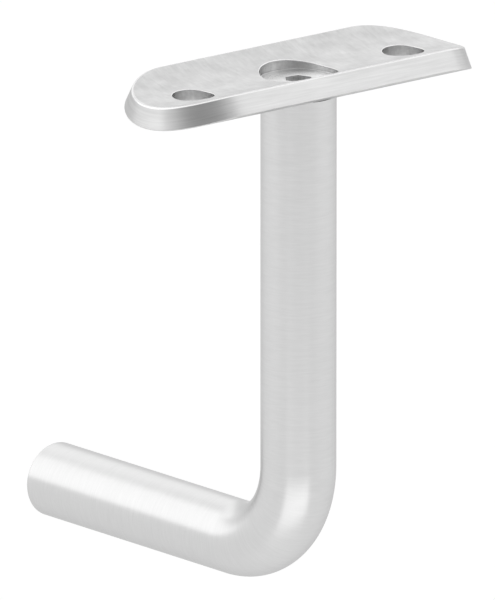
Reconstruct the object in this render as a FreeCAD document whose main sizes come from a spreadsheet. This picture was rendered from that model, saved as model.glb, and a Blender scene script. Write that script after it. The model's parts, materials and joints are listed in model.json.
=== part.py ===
import FreeCAD, Part
import Sketcher
import os
from math import pi
from FreeCAD import Vector

Vector2d = FreeCAD.Base.Vector2d

# Handrail bracket: a bent round bar carries a curved saddle plate, which a countersunk screw
# holds to the bar's top. Millimetres, +Z up. The origin is the centre of the bar's cut end,
# which meets the wall or post in the plane y = 0. The arm runs along -Y, the leg rises from it
# and the plate lies along X. Each body has its own origin on the leg's axis, at its top.

SIZES = [
    ("bar_diameter", 12.0, "round bar"),
    ("bar_height", 75.6, "axis of the arm to the top of the leg"),
    ("arm_length", 60.0, "axis of the leg to the cut end"),
    ("bend_radius", 15.0, "bend of the bar, along its axis"),
    ("bar_chamfer", 0.15, "cut end of the arm"),
    ("leg_chamfer", 0.2, "top of the leg"),
    ("seat_radius", 24.15, "half of the 48.3 rail tube that lies on the plate"),
    ("plate_thickness", 3.65, "plate"),
    ("blank_length", 63.3, "underside of the flat blank, over its half round ends"),
    ("blank_width", 24.4, "underside of the flat blank, which bends without stretch in its middle"),
    ("wall_draft", 0.55, "the seat's outline inside that of the underside, all round"),
    ("rim_chamfer", 0.35, "broken edge round the seat"),
    ("under_chamfer", 0.2, "broken edge round the underside"),
    ("spot_depth", 0.5, "flat spot face for the bar's top, above the lowest line of the underside"),
    ("spot_diameter", 12.4, "spot face"),
    ("hole_spacing", 43.2, "rail screw holes, centre to centre"),
    ("hole_diameter", 6.6, "rail screw holes"),
    ("hole_chamfer", 0.15, "broken edge of the rail screw holes"),
    ("sink_diameter", 12.4, "straight mouth of the countersink"),
    ("sink_depth", 0.8, "screw head below the lowest line of the seat"),
    ("screw_diameter", 6.0, "plate screw, over its thread"),
    ("screw_length", 16.0, "plate screw, overall"),
    ("screw_chamfer", 0.6, "end of the plate screw"),
    ("head_diameter", 12.0, "countersunk head"),
    ("head_land", 0.25, "straight rim of the head"),
    ("head_angle", 90.0, "cone of the head and of its seat, in degrees"),
    ("socket_flats", 4.0, "hexagon socket, across flats"),
    ("socket_depth", 2.3, "hexagon socket"),
    ("socket_turn", 52.0, "a corner of the socket from +X, in degrees"),
    ("screw_gap", 0.2, "round the screw in the plain holes that it passes"),
    ("thread_gap", 0.05, "round the screw in its tapped hole"),
    ("thread_spare", 2.0, "tapped hole below the end of the screw"),
    ("drill_angle", 118.0, "bottom of the tapped hole, in degrees"),
]

# Levels along the screw's axis are measured from the joint of plate and bar
DERIVED = [
    ("leg_length", "bar_height - bend_radius"),
    ("cone_slope", "tan(head_angle / 2 * 1 deg)"),
    ("seat_level", "plate_thickness - spot_depth"),
    ("head_top", "seat_level - sink_depth"),
    ("cone_top", "head_top - head_land"),
    ("cone_height", "(head_diameter - screw_diameter) / 2 / cone_slope"),
    ("sink_floor", "cone_top + (sink_diameter - head_diameter) / 2 / cone_slope"),
    ("pass_radius", "screw_diameter / 2 + screw_gap"),
    ("pass_top", "cone_top - (head_diameter / 2 - pass_radius) / cone_slope"),
    ("thread_radius", "screw_diameter / 2 + thread_gap"),
    ("cone_at_joint", "head_diameter / 2 - cone_top * cone_slope"),
    ("mouth_radius", "max(thread_radius; cone_at_joint) + screw_gap"),
    ("mouth_depth", "(mouth_radius - thread_radius) / cone_slope"),
    ("thread_depth", "screw_length - head_top + thread_spare"),
    ("drill_depth", "thread_depth + thread_radius / tan(drill_angle / 2 * 1 deg)"),
]

# Past this many plate thicknesses a cutting profile is clear of the plate
CLEAR_OF_PLATE = 3

# The angle of the lowest line of a tube along +X, on its own surface
LOWEST = 1.5 * pi

ON_SURFACE = 1e-4

doc = FreeCAD.newDocument("handrail_bracket")


def make_sheet():
    sheet = doc.addObject("Spreadsheet::Sheet", "Sizes")
    cells = [(name, str(value), note) for name, value, note in SIZES]
    cells += [(name, "=" + formula, "worked out") for name, formula in DERIVED]
    for row, (name, content, note) in enumerate(cells, start=1):
        sheet.set("A%d" % row, name)
        sheet.set("B%d" % row, content)
        sheet.set("C%d" % row, note)
        sheet.setAlias("B%d" % row, name)
    doc.recompute()
    return sheet


def value(formula):
    """The present value of a formula in the sheet's names."""
    result = sheet.evalExpression(formula)
    return float(getattr(result, "Value", result))


def make_body(label):
    body = doc.addObject("PartDesign::Body", label)
    body.Label = label
    return body


def origin_part(body, role):
    return next(item for item in body.Origin.OriginFeatures if item.Role == role)


def make_sketch(body, name, role):
    sketch = body.newObject("Sketcher::SketchObject", name)
    sketch.AttachmentSupport = (origin_part(body, role), "")
    sketch.MapMode = "FlatFace"
    return sketch


def add_size(sketch, formula, *constraint):
    """A driving dimension that follows the sheet."""
    index = sketch.addConstraint(Sketcher.Constraint(*constraint, value(formula)))
    sketch.setExpression("Constraints[%d]" % index, formula)


def draw_profile(sketch, corners):
    """A closed outline of straight lines, with each corner held at two formulas."""
    places = [Vector(value(across), value(up), 0) for across, up in corners]
    ends = places[1:] + places[:1]
    lines = [sketch.addGeometry(Part.LineSegment(*pair), False) for pair in zip(places, ends)]
    for last, line in zip(lines[-1:] + lines[:-1], lines):
        sketch.addConstraint(Sketcher.Constraint("Coincident", last, 2, line, 1))
    for line, (across, up) in zip(lines, corners):
        add_size(sketch, across, "DistanceX", -1, 1, line, 1)
        add_size(sketch, up, "DistanceY", -1, 1, line, 1)


def edge_names(shape, test):
    """Edges whose ends and middle all pass the test."""
    names = []
    for number, edge in enumerate(shape.Edges, start=1):
        middle = edge.valueAt((edge.FirstParameter + edge.LastParameter) / 2)
        points = [vertex.Point for vertex in edge.Vertexes] + [middle]
        if all(test(point) for point in points):
            names.append("Edge%d" % number)
    return names


def break_edges(body, name, size, test):
    """A chamfer on the edges of the body that pass the test."""
    doc.recompute()
    base = body.Tip
    chamfer = body.newObject("PartDesign::Chamfer", name)
    chamfer.Base = (base, edge_names(base.Shape, test))
    chamfer.setExpression("Size", size)
    doc.recompute()


def cut_checked(body, feature):
    """A cut counts only when it takes something away."""
    before = feature.BaseFeature.Shape.Volume
    doc.recompute()
    if not feature.Shape.Volume < before:
        raise ValueError(feature.Label + " cuts nothing")


def revolved_cut(body, name, corners):
    """Material turned away round the body's own Z axis."""
    sketch = make_sketch(body, name + "_profile", "XZ_Plane")
    draw_profile(sketch, corners)
    groove = body.newObject("PartDesign::Groove", name)
    groove.Profile = sketch
    groove.ReferenceAxis = (origin_part(body, "Z_Axis"), [""])
    groove.Angle = 360.0
    cut_checked(body, groove)


def place_on_leg(body, level=None):
    """Seat a body's own origin on the leg's axis, at its top or at a level above it."""
    height = "Sizes.bar_height" + (" + " + level if level else "")
    body.setExpression("Placement.Base.y", "-Sizes.arm_length")
    body.setExpression("Placement.Base.z", height)


def tube_surface(depth):
    """The round surface of the bent blank at this depth below its seat."""
    tube = Part.Cylinder()
    tube.Axis = Vector(1, 0, 0)
    tube.Center = Vector(0, 0, value("seat_level + seat_radius"))
    tube.Radius = value("seat_radius") + depth
    return tube


def blank_outline(tube, inset):
    """The blank's outline on a round surface, this far inside its full size.

    On the surface a point is an angle and a place along X, so the half round end of the
    blank is half an oval there: its width as an angle, its reach as a length. The blank
    keeps its width in its middle surface.
    """
    half_width = value("blank_width / 2") - inset
    straight = value("(blank_length - blank_width) / 2")
    half_angle = half_width / value("seat_radius + plate_thickness / 2")

    def side(sense):
        angle = LOWEST + sense * half_angle
        ends = (Vector2d(angle, -sense * straight), Vector2d(angle, sense * straight))
        return Part.Geom2d.Line2dSegment(*ends).toShape(tube)

    def end(sense):
        oval = Part.Geom2d.Ellipse2d(Vector2d(LOWEST, sense * straight), half_width, half_angle)
        first = -sense * pi / 2
        return Part.Geom2d.ArcOfEllipse2d(oval, first, first + pi).toShape(tube)

    return Part.Wire([side(1), end(1), side(-1), end(-1)])


def round_face(tube, outline):
    face = Part.Face(tube, outline)
    face.validate()
    return face


def wall_face(upper, lower):
    """Straight lines from edge to edge, which is a plane between straight edges."""
    if not isinstance(upper.Curve, Part.Line):
        return Part.makeRuledSurface(upper, lower)
    corners = [vertex.Point for vertex in upper.Vertexes + lower.Vertexes[::-1]]
    return Part.Face(Part.makePolygon(corners + corners[:1]))


def bent_blank():
    """The pressed blank after bending: its walls have a draft and its edges are broken."""
    rim = value("rim_chamfer")
    under = value("under_chamfer")
    thickness = value("plate_thickness")

    def drafted(depth):
        return value("wall_draft") * (1 - depth / thickness)

    steps = [(0, rim + drafted(0)), (rim, drafted(rim)),
             (thickness - under, drafted(thickness - under)), (thickness, under)]
    tubes = [tube_surface(depth) for depth, inset in steps]
    outlines = [blank_outline(tube, inset) for tube, (depth, inset) in zip(tubes, steps)]
    faces = [round_face(tubes[0], outlines[0]), round_face(tubes[-1], outlines[-1])]
    for upper, lower in zip(outlines, outlines[1:]):
        faces += [wall_face(*pair) for pair in zip(upper.Edges, lower.Edges)]
    shell = Part.makeShell(faces)
    shell.sewShape()
    return Part.makeSolid(shell).removeSplitter().Solids[0]


def saddle_plate():
    blank = doc.addObject("Part::Feature", "blank")
    blank.Shape = bent_blank()
    body = make_body("saddle_plate")
    body.BaseFeature = blank
    place_on_leg(body)
    doc.recompute()

    sketch = make_sketch(body, "rail_hole_circle", "XY_Plane")
    radius = value("hole_diameter / 2")
    centre = Vector(value("hole_spacing / 2"), 0, 0)
    circle = sketch.addGeometry(Part.Circle(centre, Vector(0, 0, 1), radius), False)
    sketch.addConstraint(Sketcher.Constraint("PointOnObject", circle, 3, -1))
    add_size(sketch, "Sizes.hole_spacing / 2", "DistanceX", -1, 1, circle, 3)
    add_size(sketch, "Sizes.hole_diameter", "Diameter", circle)
    hole = body.newObject("PartDesign::Pocket", "rail_hole")
    hole.Profile = sketch
    hole.SideType = "Symmetric"
    hole.Type = "ThroughAll"
    cut_checked(body, hole)

    pair = body.newObject("PartDesign::Mirrored", "rail_holes")
    pair.Originals = [hole]
    pair.MirrorPlane = (origin_part(body, "YZ_Plane"), [""])
    body.Tip = pair

    def on_hole(point):
        from_hole = (Vector(abs(point.x), point.y, 0) - centre).Length
        return abs(from_hole - radius) < ON_SURFACE and point.z > value("seat_level / 2")

    break_edges(body, "rail_hole_edges", "Sizes.hole_chamfer", on_hole)

    over = "%d * Sizes.plate_thickness" % CLEAR_OF_PLATE
    revolved_cut(body, "countersink", [
        ("0", over),
        ("Sizes.sink_diameter / 2", over),
        ("Sizes.sink_diameter / 2", "Sizes.sink_floor"),
        ("Sizes.pass_radius", "Sizes.pass_top"),
        ("Sizes.pass_radius", "-" + over),
        ("0", "-" + over),
    ])
    revolved_cut(body, "spot_face", [
        ("0", "0"),
        ("Sizes.spot_diameter / 2", "0"),
        ("Sizes.spot_diameter / 2", "-" + over),
        ("0", "-" + over),
    ])
    return body


def support_bar():
    body = make_body("support_bar")
    place_on_leg(body)

    section = make_sketch(body, "bar_section", "XY_Plane")
    circle = section.addGeometry(Part.Circle(Vector(), Vector(0, 0, 1), value("bar_diameter / 2")), False)
    section.addConstraint(Sketcher.Constraint("Coincident", circle, 3, -1, 1))
    add_size(section, "Sizes.bar_diameter", "Diameter", circle)

    axis = make_sketch(body, "bar_axis", "YZ_Plane")
    bend = value("bend_radius")
    foot = -value("leg_length")
    level = -value("bar_height")
    turn = Part.Circle(Vector(bend, foot, 0), Vector(0, 0, 1), bend)
    leg = axis.addGeometry(Part.LineSegment(Vector(0, 0, 0), Vector(0, foot, 0)), False)
    arc = axis.addGeometry(Part.ArcOfCircle(turn, pi, LOWEST), False)
    end = Vector(value("arm_length"), level, 0)
    arm = axis.addGeometry(Part.LineSegment(Vector(bend, level, 0), end), False)
    axis.addConstraint(Sketcher.Constraint("Coincident", leg, 1, -1, 1))
    axis.addConstraint(Sketcher.Constraint("Vertical", leg))
    axis.addConstraint(Sketcher.Constraint("Tangent", leg, 2, arc, 1))
    axis.addConstraint(Sketcher.Constraint("Tangent", arc, 2, arm, 1))
    axis.addConstraint(Sketcher.Constraint("Horizontal", arm))
    add_size(axis, "Sizes.bend_radius", "Radius", arc)
    add_size(axis, "-Sizes.bar_height", "DistanceY", -1, 1, arm, 2)
    add_size(axis, "Sizes.arm_length", "DistanceX", -1, 1, arm, 2)

    pipe = body.newObject("PartDesign::AdditivePipe", "bent_bar")
    pipe.Profile = section
    pipe.Spine = axis
    break_edges(body, "arm_end_edge", "Sizes.bar_chamfer",
                lambda point: abs(point.y - value("arm_length")) < ON_SURFACE)
    break_edges(body, "leg_end_edge", "Sizes.leg_chamfer",
                lambda point: abs(point.z) < ON_SURFACE)
    revolved_cut(body, "tapped_hole", [
        ("0", "0"),
        ("Sizes.mouth_radius", "0"),
        ("Sizes.thread_radius", "-Sizes.mouth_depth"),
        ("Sizes.thread_radius", "-Sizes.thread_depth"),
        ("0", "-Sizes.drill_depth"),
    ])
    return body


def plate_screw():
    """The screw's own origin is the middle of its head's flat top."""
    body = make_body("plate_screw")
    place_on_leg(body, "Sizes.head_top")

    profile = make_sketch(body, "screw_profile", "XZ_Plane")
    draw_profile(profile, [
        ("0", "0"),
        ("Sizes.head_diameter / 2", "0"),
        ("Sizes.head_diameter / 2", "-Sizes.head_land"),
        ("Sizes.screw_diameter / 2", "-Sizes.head_land - Sizes.cone_height"),
        ("Sizes.screw_diameter / 2", "-Sizes.screw_length + Sizes.screw_chamfer"),
        ("Sizes.screw_diameter / 2 - Sizes.screw_chamfer", "-Sizes.screw_length"),
        ("0", "-Sizes.screw_length"),
    ])
    turned = body.newObject("PartDesign::Revolution", "turned_screw")
    turned.Profile = profile
    turned.ReferenceAxis = (origin_part(body, "Z_Axis"), [""])
    turned.Angle = 360.0
    doc.recompute()

    hexagon = make_sketch(body, "socket_hexagon", "XY_Plane")
    corner = "Sizes.socket_flats / 2 / cos(30 deg)"
    turns = ["(Sizes.socket_turn + %d) * 1 deg" % (60 * step) for step in range(6)]
    draw_profile(hexagon, [(corner + " * cos(%s)" % turn, corner + " * sin(%s)" % turn) for turn in turns])
    socket = body.newObject("PartDesign::Pocket", "socket")
    socket.Profile = hexagon
    socket.setExpression("Length", "Sizes.socket_depth")
    cut_checked(body, socket)
    return body


def check_document(bodies):
    doc.recompute()
    for item in doc.Objects:
        if "Invalid" in item.State or "Error" in item.State:
            raise ValueError("%s is in state %s" % (item.Label, item.State))
    for body in bodies:
        shape = body.Shape
        if shape.isNull() or not shape.isValid() or len(shape.Solids) != 1:
            raise ValueError(body.Label + " is not one valid solid")


sheet = make_sheet()
bodies = [saddle_plate(), support_bar(), plate_screw()]
check_document(bodies)
os.makedirs("parts", exist_ok=True)
for body in bodies:
    body.Shape.exportStep(os.path.join("parts", body.Label + ".step"))
    box = body.Shape.BoundBox
    print("%-14s volume %9.2f  x %.2f %.2f  y %.2f %.2f  z %.2f %.2f" % (
        body.Label, body.Shape.Volume, box.XMin, box.XMax, box.YMin, box.YMax, box.ZMin, box.ZMax))
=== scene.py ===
import json
from collections import namedtuple
from math import asin, atan2, cos, pi, radians, sin, sqrt, tan

import bpy
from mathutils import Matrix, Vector
from mathutils.geometry import delaunay_2d_cdt


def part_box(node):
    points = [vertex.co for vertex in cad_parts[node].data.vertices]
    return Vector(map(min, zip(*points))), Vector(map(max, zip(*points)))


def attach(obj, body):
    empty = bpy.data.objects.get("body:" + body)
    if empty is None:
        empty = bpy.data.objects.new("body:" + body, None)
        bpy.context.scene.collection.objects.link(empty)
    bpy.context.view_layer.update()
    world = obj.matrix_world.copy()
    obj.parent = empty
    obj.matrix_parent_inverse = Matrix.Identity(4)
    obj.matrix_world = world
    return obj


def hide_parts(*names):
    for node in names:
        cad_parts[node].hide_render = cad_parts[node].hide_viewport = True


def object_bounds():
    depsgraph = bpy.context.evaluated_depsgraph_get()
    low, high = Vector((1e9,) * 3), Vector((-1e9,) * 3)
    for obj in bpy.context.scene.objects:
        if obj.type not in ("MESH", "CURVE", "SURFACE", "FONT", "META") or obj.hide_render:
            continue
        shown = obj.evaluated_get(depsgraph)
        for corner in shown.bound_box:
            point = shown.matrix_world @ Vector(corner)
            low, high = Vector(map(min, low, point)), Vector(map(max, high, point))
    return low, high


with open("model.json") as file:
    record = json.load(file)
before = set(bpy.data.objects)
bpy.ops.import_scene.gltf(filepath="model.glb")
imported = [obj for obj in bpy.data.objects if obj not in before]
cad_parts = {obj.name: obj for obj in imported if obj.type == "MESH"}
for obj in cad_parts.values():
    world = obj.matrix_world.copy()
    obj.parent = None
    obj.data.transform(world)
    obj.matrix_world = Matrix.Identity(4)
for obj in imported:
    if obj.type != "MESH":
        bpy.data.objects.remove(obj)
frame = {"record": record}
cad_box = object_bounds()

# Looks of the handrail bracket. The bent bar, the saddle plate and its screw are made again as
# fine skins with rounded edges, in the places and sizes of their solids. Metres, +Z up.

MM = 0.001

# Sizes that the boxes of the solids don't give
BEND_RADIUS = 15.0 * MM
SEAT_RADIUS = 24.15 * MM
PLATE_THICKNESS = 3.65 * MM
BLANK_LENGTH = 63.3 * MM
BLANK_WIDTH = 24.4 * MM
WALL_DRAFT = 0.55 * MM
SPOT_DEPTH = 0.5 * MM
SPOT_RADIUS = 6.2 * MM
HOLE_RADIUS = 3.3 * MM
SINK_RADIUS = 6.2 * MM
SINK_FLOOR = 0.85 * MM
TAP_RADIUS = 3.05 * MM
TAP_DEPTH = 15.65 * MM
MOUTH_RADIUS = 4.1 * MM
HEAD_LAND = 0.25 * MM
SCREW_RADIUS = 3.0 * MM
SCREW_END = 0.6 * MM
SOCKET_FLATS = 4.0 * MM
SOCKET_DEPTH = 2.3 * MM
SOCKET_TURN = radians(52)

# The spot face's edge keeps to this share of the width that the curved underside leaves it. The
# least sine only keeps a division away from zero.
SPOT_MARGIN = 0.99
LEAST_SINE = 0.1

# Radii of the broken edges
RIM_EDGE = 0.35 * MM
UNDER_EDGE = 0.14 * MM
HOLE_EDGE = 0.12 * MM
ARM_EDGE = 0.2 * MM
LEG_EDGE = 0.15 * MM
HEAD_EDGE = 0.1 * MM
SOCKET_EDGE = 0.04 * MM

# Fineness of the skins
BAR_SIDES = 144
BEND_STEPS = 56
BORE_SIDES = 96
END_STEPS = 40
SIDE_STEPS = 24
EDGE_STEPS = 4
FACE_GRID = 1.2 * MM

# Blender's triangulation keeps what is inside the outer loop
INSIDE = 1

bar_low, bar_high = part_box("support_bar")
plate_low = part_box("saddle_plate")[0]
screw_low, screw_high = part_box("plate_screw")
pattern = next(mount for mount in frame["record"]["mounts"] if mount["name"] == "rail_screws")

bar_radius = (bar_high.x - bar_low.x) / 2
leg_place = (screw_low.y + screw_high.y) / 2
joint_level = bar_high.z
seat_level = plate_low.z + PLATE_THICKNESS
head_radius = (screw_high.x - screw_low.x) / 2
head_level = screw_high.z
hole_reach = pattern["dims"]["spacing_x_mm"] * MM / 2
half_length = BLANK_LENGTH / 2
half_width = BLANK_WIDTH / 2
end_centre = half_length - half_width
middle_radius = SEAT_RADIUS + PLATE_THICKNESS / 2
wall_lean = atan2(WALL_DRAFT, PLATE_THICKNESS)
arm_run = -leg_place - BEND_RADIUS
bend_run = BEND_RADIUS * pi / 2
bar_run = arm_run + bend_run + joint_level - BEND_RADIUS

Spot = namedtuple("Spot", "point normal grain blur")


class Skin:
    """A mesh whose vertices carry exact normals, their place in the metal's grain in
    millimetres, and the direction across its scratches, in which reflections blur."""

    def __init__(self):
        self.spots = []
        self.faces = []
        self.finishes = []

    def add(self, spots):
        first = len(self.spots)
        self.spots += spots
        return list(range(first, first + len(spots)))

    def face(self, corners, finish):
        self.faces.append(corners)
        self.finishes.append(finish)

    def band(self, rings, finish, closed=True):
        """Quads between each ring of spots and the next."""
        rows = [self.add(ring) for ring in rings]
        for upper, lower in zip(rows, rows[1:]):
            for step in range(len(upper) if closed else len(upper) - 1):
                after = (step + 1) % len(upper)
                self.face([upper[step], lower[step], lower[after], upper[after]], finish)
        return rows

    def make(self, name, node, materials):
        mesh = bpy.data.meshes.new(name)
        mesh.from_pydata([spot.point for spot in self.spots], [], self.faces)
        for label in ("grain", "blur"):
            attribute = mesh.attributes.new(label, "FLOAT_VECTOR", "POINT")
            parts = [part for spot in self.spots for part in getattr(spot, label)]
            attribute.data.foreach_set("vector", parts)
        for material in materials:
            mesh.materials.append(material)
        mesh.polygons.foreach_set("material_index", self.finishes)
        mesh.polygons.foreach_set("use_smooth", [True] * len(self.faces))
        mesh.normals_split_custom_set_from_vertices([spot.normal for spot in self.spots])
        piece = bpy.data.objects.new(name, mesh)
        bpy.context.scene.collection.objects.link(piece)
        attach(piece, "root")
        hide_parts(node)


def turns(count):
    return [2 * pi * step / count for step in range(count)]


def edge_leans():
    """Angles round a broken edge, from 0 on one side to a quarter turn on the other."""
    return [pi / 2 * step / EDGE_STEPS for step in range(EDGE_STEPS + 1)]


def facing(ring, direction):
    """The same ring of spots with all its normals in one direction."""
    return [spot._replace(normal=direction) for spot in ring]


# Bar

def bar_station(along):
    """Centre, direction of travel and outer side of the bar, this far from its cut end."""
    turn = min(max(along - arm_run, 0), bend_run) / BEND_RADIUS
    travel = Vector((0, -cos(turn), sin(turn)))
    outer = Vector((0, -sin(turn), -cos(turn)))
    centre = Vector((0, -min(along, arm_run), BEND_RADIUS)) + BEND_RADIUS * outer
    centre.z += max(along - arm_run - bend_run, 0)
    return centre, travel, outer


def bar_ring(along, radius, lean=0.0):
    """A ring round the bar, whose normals lean along the direction of travel."""
    centre, travel, outer = bar_station(along)
    ring = []
    for turn in turns(BAR_SIDES):
        out = Vector((cos(turn), 0, 0)) + sin(turn) * outer
        grain = Vector((radius * cos(turn), radius * sin(turn), along)) / MM
        blur = travel if abs(lean) < pi / 4 else out
        ring.append(Spot(centre + radius * out, cos(lean) * out + sin(lean) * travel, grain, blur))
    return ring


def inward(ring, rise):
    """A ring round the leg with its normals turned to the axis and up by an angle."""
    return [spot._replace(normal=Vector((-cos(rise) * cos(turn), cos(rise) * sin(turn), sin(rise))))
            for spot, turn in zip(ring, turns(BAR_SIDES))]


def make_bar(finish, cut, slit_paint):
    start = [bar_ring(ARM_EDGE * (1 - sin(lean)), bar_radius - ARM_EDGE * (1 - cos(lean)), -lean)
             for lean in edge_leans()[::-1]]
    shaft = [bar_ring(arm_run + bend_run * step / BEND_STEPS, bar_radius)
             for step in range(BEND_STEPS + 1)]
    top = [bar_ring(bar_run - LEG_EDGE * (1 - sin(lean)), bar_radius - LEG_EDGE * (1 - cos(lean)), lean)
           for lean in edge_leans()]
    mouth = bar_ring(bar_run, MOUTH_RADIUS, pi / 2)
    skin = Skin()
    rows = skin.band(start + shaft + [top[0]], 0)
    skin.face(rows[0], 1)
    # The top edge and the flat top round the mouth get the painted shade finish, nearly black, in place of
    # the shade in the slit under the plate
    skin.band(top + [mouth], 2)
    tap_top = bar_run - (MOUTH_RADIUS - TAP_RADIUS)
    floor = bar_ring(bar_run - TAP_DEPTH, TAP_RADIUS, pi / 2)
    skin.band([inward(mouth, pi / 4), inward(bar_ring(tap_top, TAP_RADIUS), pi / 4)], 0)
    skin.band([inward(bar_ring(tap_top, TAP_RADIUS), 0), inward(floor, 0)], 0)
    skin.face(skin.add(floor)[::-1], 0)
    skin.make("bar", "support_bar", [finish, cut, slit_paint])


# Plate. A place on it is X, a turn round the rail's axis and a depth below the seat.

ALONG_RAIL = Vector((1, 0, 0))


def plate_point(across, turn, depth):
    radius = SEAT_RADIUS + depth
    return Vector((across, leg_place + radius * sin(turn), seat_level + SEAT_RADIUS - radius * cos(turn)))


def seat_up(turn):
    return Vector((0, -sin(turn), cos(turn)))


def turn_of(point):
    return atan2(point.y - leg_place, seat_level + SEAT_RADIUS - point.z)


def outline():
    """Places round the flat blank: its half round ends' centre, and the direction out of it."""
    places = []
    for end in (1, -1):
        for step in range(END_STEPS + 1):
            angle = pi * step / END_STEPS - end * pi / 2
            places.append((end * end_centre, cos(angle), sin(angle)))
        for step in range(1, SIDE_STEPS):
            places.append((end * end_centre * (1 - 2 * step / SIDE_STEPS), 0, end))
    return places


def outline_ring(inset, depth, lift):
    """The blank's outline inside its full size, at a depth, with normals that lift to the seat."""
    ring = []
    for across, out_across, out_width in outline():
        width = (half_width - inset) * out_width
        turn = width / middle_radius
        point = plate_point(across + (half_width - inset) * out_across, turn, depth)
        out = Vector((out_across, out_width * cos(turn), out_width * sin(turn)))
        normal = cos(lift) * out + sin(lift) * seat_up(turn)
        grain = Vector((point.x, point.y, depth)) / MM
        ring.append(Spot(point, normal, grain, seat_up(turn)))
    return ring


def round_edge(radius, depth, first_lift, last_lift):
    """Outline rings round an edge whose rounding has its centre at a depth."""
    middle = WALL_DRAFT * (1 - depth / PLATE_THICKNESS) + radius / cos(wall_lean)
    rings = []
    for step in range(EDGE_STEPS + 1):
        lift = first_lift + (last_lift - first_lift) * step / EDGE_STEPS
        rings.append(outline_ring(middle - radius * cos(lift), depth - radius * sin(lift), lift))
    return rings


def bore_ring(across, radius, depth, lift):
    """A ring of an upright bore at a depth, seen from inside it, with normals that lift."""
    ring = []
    for turn in turns(BORE_SIDES):
        out = Vector((cos(turn), -sin(turn), 0))
        round_turn = asin(radius * out.y / (SEAT_RADIUS + depth))
        point = plate_point(across + radius * out.x, round_turn, depth)
        normal = -cos(lift) * out + sin(lift) * seat_up(round_turn)
        ring.append(Spot(point, normal, point / MM, Vector((out.y, -out.x, 0))))
    return ring


def bore_edge(across, radius, depth, first_lift, last_lift):
    """Rings round the broken edge of a bore, whose rounding has its centre at a depth."""
    rings = []
    for step in range(EDGE_STEPS + 1):
        lift = first_lift + (last_lift - first_lift) * step / EDGE_STEPS
        rings.append(bore_ring(across, radius + HOLE_EDGE * (1 - cos(lift)),
                               depth - HOLE_EDGE * sin(lift), lift))
    return rings


def level_ring(radius, level, lift):
    """A ring round the screw's axis, seen from inside it."""
    ring = []
    for turn in turns(BORE_SIDES):
        out = Vector((cos(turn), -sin(turn), 0))
        point = Vector((0, leg_place, level)) + radius * out
        normal = -cos(lift) * out + Vector((0, 0, sin(lift)))
        ring.append(Spot(point, normal, point / MM, Vector((out.y, -out.x, 0))))
    return ring


def spot_ring(level=None):
    """The spot face's edge, at a level or where it leaves the plate's curved underside.

    It stays just inside the width at which the underside rises above the flat.
    """
    under_radius = SEAT_RADIUS + PLATE_THICKNESS
    reach = sqrt(under_radius ** 2 - (under_radius - SPOT_DEPTH) ** 2)
    ring = []
    for spot, turn in zip(level_ring(1.0, joint_level, 0), turns(BORE_SIDES)):
        radius = min(SPOT_RADIUS, SPOT_MARGIN * reach / max(abs(sin(turn)), LEAST_SINE))
        point = Vector((radius * cos(turn), leg_place - radius * sin(turn), joint_level))
        if level is None:
            point.z = seat_level + SEAT_RADIUS - sqrt(under_radius ** 2 - (radius * sin(turn)) ** 2)
        ring.append(spot._replace(point=point, grain=point / MM))
    return ring


def within(place, loop):
    """Whether a loop goes round a place: a line from it crosses the loop an odd number of times."""
    odd = False
    for start, end in zip(loop, loop[1:] + loop[:1]):
        if (start.y > place.y) != (end.y > place.y):
            share = (place.y - start.y) / (end.y - start.y)
            if place.x < start.x + share * (end.x - start.x):
                odd = not odd
    return odd


def curved_face(skin, depth, up, loops, finish):
    """The seat or the underside: triangles on a fine grid, between loops of spots."""
    flat_loops = []
    places = []
    edges = []
    for loop in loops:
        first = len(places)
        flat_loops.append([Vector((spot.point.x, turn_of(spot.point) * middle_radius)) for spot in loop])
        places += flat_loops[-1]
        edges += [(first + step, first + (step + 1) % len(loop)) for step in range(len(loop))]
    on_loops = list(places)
    columns = round(half_length / FACE_GRID)
    rows = round(half_width / FACE_GRID)
    for column in range(-columns, columns + 1):
        for row in range(-rows, rows + 1):
            place = Vector((column * FACE_GRID, row * FACE_GRID))
            if all((place - other).length > FACE_GRID / 2 for other in on_loops):
                places.append(place)
    corners, _, triangles = delaunay_2d_cdt(places, edges, [], INSIDE, FACE_GRID / 1000)[:3]
    middles = [sum((corners[corner] for corner in triangle), Vector((0, 0))) / 3 for triangle in triangles]
    triangles = [triangle for triangle, middle in zip(triangles, middles)
                 if not any(within(middle, loop) for loop in flat_loops[1:])]
    used = sorted({corner for triangle in triangles for corner in triangle})
    spots = []
    for corner in used:
        across, width = corners[corner]
        turn = width / middle_radius
        grain = Vector((across, width, depth)) / MM
        spots.append(Spot(plate_point(across, turn, depth), up * seat_up(turn), grain, ALONG_RAIL))
    indices = dict(zip(used, skin.add(spots)))
    for triangle in triangles:
        skin.face([indices[corner] for corner in (triangle if up > 0 else triangle[::-1])], finish)


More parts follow.
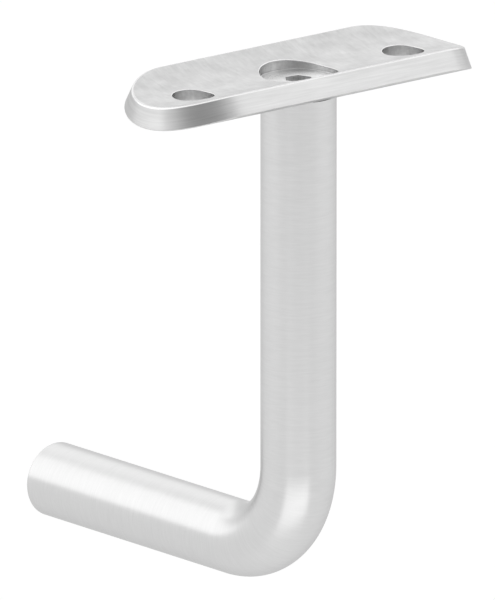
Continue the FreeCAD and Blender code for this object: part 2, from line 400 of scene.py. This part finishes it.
def make_plate(seat, wall, bore, rim, cut):
    skin = Skin()
    top_edge = round_edge(RIM_EDGE, RIM_EDGE, pi / 2, wall_lean)
    foot = round_edge(UNDER_EDGE, PLATE_THICKNESS - UNDER_EDGE, wall_lean, -pi / 2)
    skin.band(top_edge, 3)
    skin.band([top_edge[-1], foot[0]], 1)
    skin.band(foot, 4)
    seat_loops = [top_edge[0]]
    under_loops = [foot[-1]]

    sink_top = bore_edge(0, SINK_RADIUS, HOLE_EDGE, pi / 2, 0)
    skin.band(sink_top, 3)
    skin.band([sink_top[-1], level_ring(SINK_RADIUS, seat_level - SINK_FLOOR, 0)], 2)
    seat_loops.append(sink_top[0])
    cone_radius = SINK_RADIUS - (seat_level - SINK_FLOOR - joint_level)
    skin.band([level_ring(SINK_RADIUS, seat_level - SINK_FLOOR, pi / 4),
               level_ring(cone_radius, joint_level, pi / 4)], 2)
    down = Vector((0, 0, -1))
    skin.band([facing(level_ring(cone_radius, joint_level, 0), down),
               facing(spot_ring(joint_level), down)], 0)
    skin.band([spot_ring(joint_level), spot_ring()], 2)
    under_loops.append(spot_ring())

    for side in (-1, 1):
        top = bore_edge(side * hole_reach, HOLE_RADIUS, HOLE_EDGE, pi / 2, 0)
        end = bore_edge(side * hole_reach, HOLE_RADIUS, PLATE_THICKNESS - HOLE_EDGE, 0, -pi / 2)
        skin.band(top, 3)
        skin.band([top[-1]] + end, 2)
        seat_loops.append(top[0])
        under_loops.append(end[-1])
    curved_face(skin, 0, 1, seat_loops, 0)
    curved_face(skin, PLATE_THICKNESS, -1, under_loops, 0)
    skin.make("plate", "saddle_plate", [seat, wall, bore, rim, cut])


# Screw

def screw_ring(radius_at, level, rise, slope=0.0):
    """A ring round the screw's axis from inside out, its normals turned up by an angle."""
    ring = []
    for turn in turns(BORE_SIDES):
        turn += SOCKET_TURN
        out = Vector((cos(turn), sin(turn), 0))
        point = Vector((0, leg_place, level)) + radius_at(turn) * out
        normal = cos(rise) * out + Vector((0, 0, sin(rise)))
        grain = Vector((point.x, point.y - leg_place, radius_at(turn))) / MM
        ring.append(Spot(point, normal, grain, out))
    return ring


def hexagon(flats):
    """The reach of a hexagon at a turn."""
    return lambda turn: flats / 2 / cos((turn - SOCKET_TURN) % (pi / 3) - pi / 6)


def make_screw(finish, socket):
    skin = Skin()
    mouth = screw_ring(hexagon(SOCKET_FLATS + 2 * SOCKET_EDGE), head_level, pi / 2)
    edge = [screw_ring(lambda turn, lean=lean: head_radius - HEAD_EDGE * (1 - cos(lean)),
                       head_level - HEAD_EDGE * (1 - sin(lean)), lean) for lean in edge_leans()[::-1]]
    land = screw_ring(lambda turn: head_radius, head_level - HEAD_LAND, 0)
    skin.band([mouth] + edge + [land], 0)
    neck_level = head_level - HEAD_LAND - (head_radius - SCREW_RADIUS)
    skin.band([screw_ring(lambda turn: head_radius, head_level - HEAD_LAND, -pi / 4),
               screw_ring(lambda turn: SCREW_RADIUS, neck_level, -pi / 4)], 0)
    skin.band([screw_ring(lambda turn: SCREW_RADIUS, neck_level, 0),
               screw_ring(lambda turn: SCREW_RADIUS, screw_low.z + SCREW_END, 0)], 0)
    tip = [screw_ring(lambda turn: SCREW_RADIUS, screw_low.z + SCREW_END, -pi / 4),
           screw_ring(lambda turn: SCREW_RADIUS - SCREW_END, screw_low.z, -pi / 4)]
    skin.band(tip, 0)
    skin.face(skin.add(facing(tip[-1], Vector((0, 0, -1))))[::-1], 0)
    side = BORE_SIDES // 6
    lip = screw_ring(hexagon(SOCKET_FLATS), head_level - SOCKET_EDGE, 0)
    floor = screw_ring(hexagon(SOCKET_FLATS), head_level - SOCKET_DEPTH, pi / 2)
    for number in range(6):
        picked = [(number * side + step) % BORE_SIDES for step in range(side + 1)][::-1]
        middle = SOCKET_TURN + (number + 0.5) * pi / 3
        to_axis = -Vector((cos(middle), sin(middle), 0))
        slanted = (to_axis + Vector((0, 0, 1))).normalized()
        skin.band([facing([mouth[place] for place in picked], slanted),
                   facing([lip[place] for place in picked], slanted)], 0, closed=False)
        skin.band([facing([lip[place] for place in picked], to_axis),
                   facing([floor[place] for place in picked], to_axis)], 1, closed=False)
    skin.face(skin.add(floor), 1)
    skin.make("screw", "plate_screw", [finish, socket])


# Materials

# How bright the steel stays where it is seen edge on, against a polished metal
EDGE_SHEEN = 0.75

# The scratches' noise: its octaves in the tone and in the relief, how fast they fade, and the
# part of its values that is spread out
TONE_DETAIL = 3.0
RELIEF_DETAIL = 2.0
NOISE_FADE = 0.6
NOISE_LOW = 0.3
NOISE_HIGH = 0.7

# How far the roughness varies, and how deep a scratch is
ROUGHNESS_SWING = 0.05
SCRATCH_DEPTH = 0.002 * MM


def add_node(tree, kind, **inputs):
    """A node of a material with values or links in its named inputs."""
    node = tree.nodes.new(kind)
    for name, content in inputs.items():
        socket = node.inputs[name.replace("_", " ")]
        if isinstance(content, bpy.types.NodeSocket):
            tree.links.new(content, socket)
        else:
            socket.default_value = content
    return node


def grain_noise(tree, grain, stretch, detail, low, high):
    """Noise along the grain, spread from the low to the high value."""
    scaled = add_node(tree, "ShaderNodeVectorMath")
    scaled.operation = "MULTIPLY"
    tree.links.new(grain, scaled.inputs[0])
    scaled.inputs[1].default_value = stretch
    noise = add_node(tree, "ShaderNodeTexNoise", Vector=scaled.outputs["Vector"], Scale=1.0,
                     Detail=detail, Roughness=NOISE_FADE)
    spread = add_node(tree, "ShaderNodeMapRange", Value=noise.outputs["Fac"],
                      From_Min=NOISE_LOW, From_Max=NOISE_HIGH, To_Min=low, To_Max=high)
    return spread.outputs["Result"]


def multiply(tree, first, second):
    node = add_node(tree, "ShaderNodeMath")
    node.operation = "MULTIPLY"
    tree.links.new(first, node.inputs[0])
    tree.links.new(second, node.inputs[1])
    return node.outputs["Value"]


def brushed_steel(name, shade, roughness, anisotropy, scratches, patches, bump):
    """Metal with scratches and patches, each a stretch of the grain and a depth of tone."""
    material = bpy.data.materials.new(name)
    material.use_nodes = True
    tree = material.node_tree
    shader = tree.nodes["Principled BSDF"]
    grain = add_node(tree, "ShaderNodeAttribute")
    grain.attribute_name = "grain"
    grain = grain.outputs["Vector"]
    tone = None
    for stretch, depth in scratches + patches:
        layer = grain_noise(tree, grain, stretch, TONE_DETAIL, 1 - depth, 1 + depth)
        tone = multiply(tree, tone, layer) if tone else layer
    colour = add_node(tree, "ShaderNodeVectorMath")
    colour.operation = "SCALE"
    colour.inputs[0].default_value = shade
    tree.links.new(tone, colour.inputs["Scale"])
    tree.links.new(colour.outputs["Vector"], shader.inputs["Base Color"])
    rough = grain_noise(tree, grain, scratches[0][0], RELIEF_DETAIL,
                        roughness * (1 - ROUGHNESS_SWING), roughness * (1 + ROUGHNESS_SWING))
    tree.links.new(rough, shader.inputs["Roughness"])
    relief = grain_noise(tree, grain, scratches[-1][0], RELIEF_DETAIL, 0.0, 1.0)
    bumped = add_node(tree, "ShaderNodeBump", Height=relief, Strength=bump, Distance=SCRATCH_DEPTH)
    tree.links.new(bumped.outputs["Normal"], shader.inputs["Normal"])
    blur = add_node(tree, "ShaderNodeAttribute")
    blur.attribute_name = "blur"
    tree.links.new(blur.outputs["Vector"], shader.inputs["Tangent"])
    shader.inputs["Anisotropic"].default_value = anisotropy
    shader.inputs["Specular Tint"].default_value = (EDGE_SHEEN, EDGE_SHEEN, EDGE_SHEEN, 1)
    shader.inputs["Metallic"].default_value = 1.0
    return material


bar_finish = brushed_steel("bar_steel", (0.635, 0.635, 0.635), 0.30, 0.4,
                           [((0.3, 0.3, 4.0), 0.03), ((0.15, 0.15, 1.6), 0.01)],
                           [((0.15, 0.15, 0.12), 0.005)], 0.05)
seat_finish = brushed_steel("seat_steel", (0.605, 0.605, 0.605), 0.38, 0.8,
                            [((2.2, 0.5, 0.3), 0.05), ((1.0, 0.3, 0.3), 0.05)],
                            [((0.18, 0.3, 0.2), 0.08)], 0.3)
wall_finish = brushed_steel("wall_steel", (0.55, 0.55, 0.55), 0.30, 0.4,
                            [((0.12, 0.12, 5.0), 0.06), ((0.1, 0.1, 2.0), 0.045)],
                            [((0.2, 0.2, 0.3), 0.02)], 0.3)
bore_finish = brushed_steel("bore_steel", (0.64, 0.64, 0.64), 0.34, 0.3,
                            [((2.5, 2.5, 0.9), 0.07), ((0.9, 0.9, 2.0), 0.08)],
                            [((0.35, 0.35, 0.3), 0.08)], 0.3)
rim_finish = brushed_steel("rim_steel", (0.7, 0.7, 0.7), 0.25, 0.4,
                           [((0.12, 0.12, 5.0), 0.03), ((0.3, 0.3, 2.0), 0.02)],
                           [((0.5, 0.5, 0.3), 0.03)], 0.2)
cut_finish = brushed_steel("cut_steel", (0.62, 0.62, 0.62), 0.45, 0.3,
                           [((0.3, 3.0, 3.0), 0.08), ((0.1, 1.2, 1.2), 0.06)],
                           [((0.4, 0.4, 0.4), 0.05)], 0.5)
screw_finish = brushed_steel("screw_steel", (0.75, 0.75, 0.75), 0.28, 0.5,
                             [((0.1, 0.1, 8.0), 0.04), ((0.1, 0.1, 3.0), 0.03)],
                             [((0.5, 0.5, 0.5), 0.02)], 0.2)
socket_finish = brushed_steel("socket_steel", (0.7, 0.7, 0.7), 0.45, 0.2,
                              [((3.0, 3.0, 0.5), 0.1), ((1.2, 1.2, 0.4), 0.08)],
                              [((0.8, 0.8, 0.8), 0.08)], 0.4)
# Painted shade on the bar's top, which shows only as a dark slit under the plate: a nearly black finish
# stands in for the shade there
painted_shade_finish = brushed_steel("shade_painted_steel", (0.06, 0.06, 0.06), 0.5, 0.2,
                           [((1.0, 1.0, 1.0), 0.05), ((0.5, 0.5, 0.5), 0.05)],
                           [((0.4, 0.4, 0.4), 0.05)], 0.2)

make_bar(bar_finish, cut_finish, painted_shade_finish)
make_plate(seat_finish, wall_finish, bore_finish, rim_finish, cut_finish)
make_screw(screw_finish, socket_finish)


# Studio

CAMERA_AZIMUTH = radians(-40.17)
CAMERA_ELEVATION = radians(15.10)
# Near the photo's straight-on view. With a longer lens the other views lose the object.
CAMERA_LENS = 1400
CAMERA_DISTANCE = 3.663
AIM_LEVEL = 75.0 * MM
AIM_RIGHT = -8.02 * MM
AIM_UP = -31.95 * MM

FLOOR_LEVEL = -1.0
FLOOR_SIZE = 30.0
FLOOR_SHADE = 0.8
# What the floor's colour and the room's light leave short of white
FLOOR_GLOW = 0.37
LAMP_DISTANCE = 0.45

# Plain soft boxes round the bracket, in degrees: azimuth from the camera's, to the right, elevation, width
# and height. Brightness is what each adds to the room's white of 1.
LAMPS = [
    ("left", -90, 30, 60, 60, 0.6),
    ("right", 90, 30, 60, 60, 0.4),
    ("top", 0, 80, 60, 60, 0.4),
    ("low_front", 0, -40, 60, 30, 0.5),
    ("back", 180, 30, 90, 30, 0.5),
]

# The camera's side of the room is dimmer: its elevation, its reach and what it takes away
DIM_ELEVATION = 30
DIM_REACH = 60
DIM_DEPTH = 0.6

# The room's light on what isn't metal
ROOM_LIGHT = 0.8


def direction(azimuth, elevation):
    return Vector((sin(azimuth) * cos(elevation), -cos(azimuth) * cos(elevation), sin(elevation)))


def look_from(thing, place, target):
    thing.location = place
    thing.rotation_mode = "QUATERNION"
    thing.rotation_quaternion = (target - place).to_track_quat("-Z", "Y")


def make_camera():
    data = bpy.data.cameras.new("camera")
    data.lens = CAMERA_LENS
    data.clip_end = FLOOR_SIZE
    camera = bpy.data.objects.new("camera", data)
    bpy.context.scene.collection.objects.link(camera)
    back = direction(CAMERA_AZIMUTH, CAMERA_ELEVATION)
    right = Vector((cos(CAMERA_AZIMUTH), sin(CAMERA_AZIMUTH), 0))
    aim = Vector((0, leg_place, AIM_LEVEL)) + AIM_RIGHT * right + AIM_UP * back.cross(right)
    look_from(camera, aim + CAMERA_DISTANCE * back, aim)
    bpy.context.scene.camera = camera


def room_direction(azimuth, elevation):
    """A direction from the bracket, with its azimuth counted from the camera's, in degrees."""
    return direction(CAMERA_AZIMUTH + radians(azimuth), radians(elevation))


def make_lamp(name, azimuth, elevation, width, height, brightness):
    data = bpy.data.lights.new(name, "AREA")
    data.shape = "RECTANGLE"
    data.size = 2 * LAMP_DISTANCE * tan(radians(width / 2))
    data.size_y = 2 * LAMP_DISTANCE * tan(radians(height / 2))
    data.energy = brightness * pi * data.size * data.size_y
    lamp = bpy.data.objects.new(name, data)
    lamp.visible_camera = False
    bpy.context.scene.collection.objects.link(lamp)
    middle = (cad_box[0] + cad_box[1]) / 2
    look_from(lamp, middle + LAMP_DISTANCE * room_direction(azimuth, elevation), middle)


def seen_white(tree):
    """1 for the rays that see or mirror the background, 0 for those that light things."""
    rays = add_node(tree, "ShaderNodeLightPath")
    seen = None
    for name in ("Is Camera Ray", "Is Glossy Ray", "Is Transmission Ray"):
        if seen is None:
            seen = rays.outputs[name]
            continue
        either = add_node(tree, "ShaderNodeMath")
        either.operation = "MAXIMUM"
        tree.links.new(seen, either.inputs[0])
        tree.links.new(rays.outputs[name], either.inputs[1])
        seen = either.outputs["Value"]
    return seen


def make_world():
    """A white room with a dimmer side, and a plain level of light for what isn't metal."""
    world = bpy.data.worlds.new("world")
    bpy.context.scene.world = world
    world.use_nodes = True
    tree = world.node_tree
    place = add_node(tree, "ShaderNodeTexCoord")
    toward = add_node(tree, "ShaderNodeVectorMath")
    toward.operation = "DOT_PRODUCT"
    tree.links.new(place.outputs["Generated"], toward.inputs[0])
    toward.inputs[1].default_value = room_direction(0, DIM_ELEVATION)
    room = add_node(tree, "ShaderNodeMapRange", Value=toward.outputs["Value"],
                    From_Min=cos(radians(DIM_REACH)), To_Min=1.0, To_Max=1 - DIM_DEPTH)
    room.interpolation_type = "SMOOTHSTEP"
    rays = add_node(tree, "ShaderNodeLightPath")
    mirrored = add_node(tree, "ShaderNodeMapRange", Value=rays.outputs["Is Glossy Ray"], To_Min=1.0)
    tree.links.new(room.outputs["Result"], mirrored.inputs["To Max"])
    level = add_node(tree, "ShaderNodeMapRange", Value=seen_white(tree), To_Min=ROOM_LIGHT)
    tree.links.new(mirrored.outputs["Result"], level.inputs["To Max"])
    background = tree.nodes["Background"]
    background.inputs["Color"].default_value = (1, 1, 1, 1)
    tree.links.new(level.outputs["Result"], background.inputs["Strength"])


def make_floor():
    """White where it is seen, but for the object's shadow."""
    mesh = bpy.data.meshes.new("floor")
    half = FLOOR_SIZE / 2
    corners = [(-half, -half), (half, -half), (half, half), (-half, half)]
    mesh.from_pydata([(x, y, FLOOR_LEVEL) for x, y in corners], [], [(0, 1, 2, 3)])
    material = bpy.data.materials.new("floor")
    material.use_nodes = True
    tree = material.node_tree
    shader = tree.nodes["Principled BSDF"]
    shader.inputs["Base Color"].default_value = (FLOOR_SHADE, FLOOR_SHADE, FLOOR_SHADE, 1)
    shader.inputs["Roughness"].default_value = 1.0
    shader.inputs["Emission Color"].default_value = (1, 1, 1, 1)
    glow = add_node(tree, "ShaderNodeMapRange", Value=seen_white(tree), To_Min=0.0, To_Max=FLOOR_GLOW)
    tree.links.new(glow.outputs["Result"], shader.inputs["Emission Strength"])
    mesh.materials.append(material)
    floor = bpy.data.objects.new("floor", mesh)
    bpy.context.scene.collection.objects.link(floor)


make_camera()
for lamp in LAMPS:
    make_lamp(*lamp)
make_world()
make_floor()
bpy.context.scene.view_settings.view_transform = "Standard"
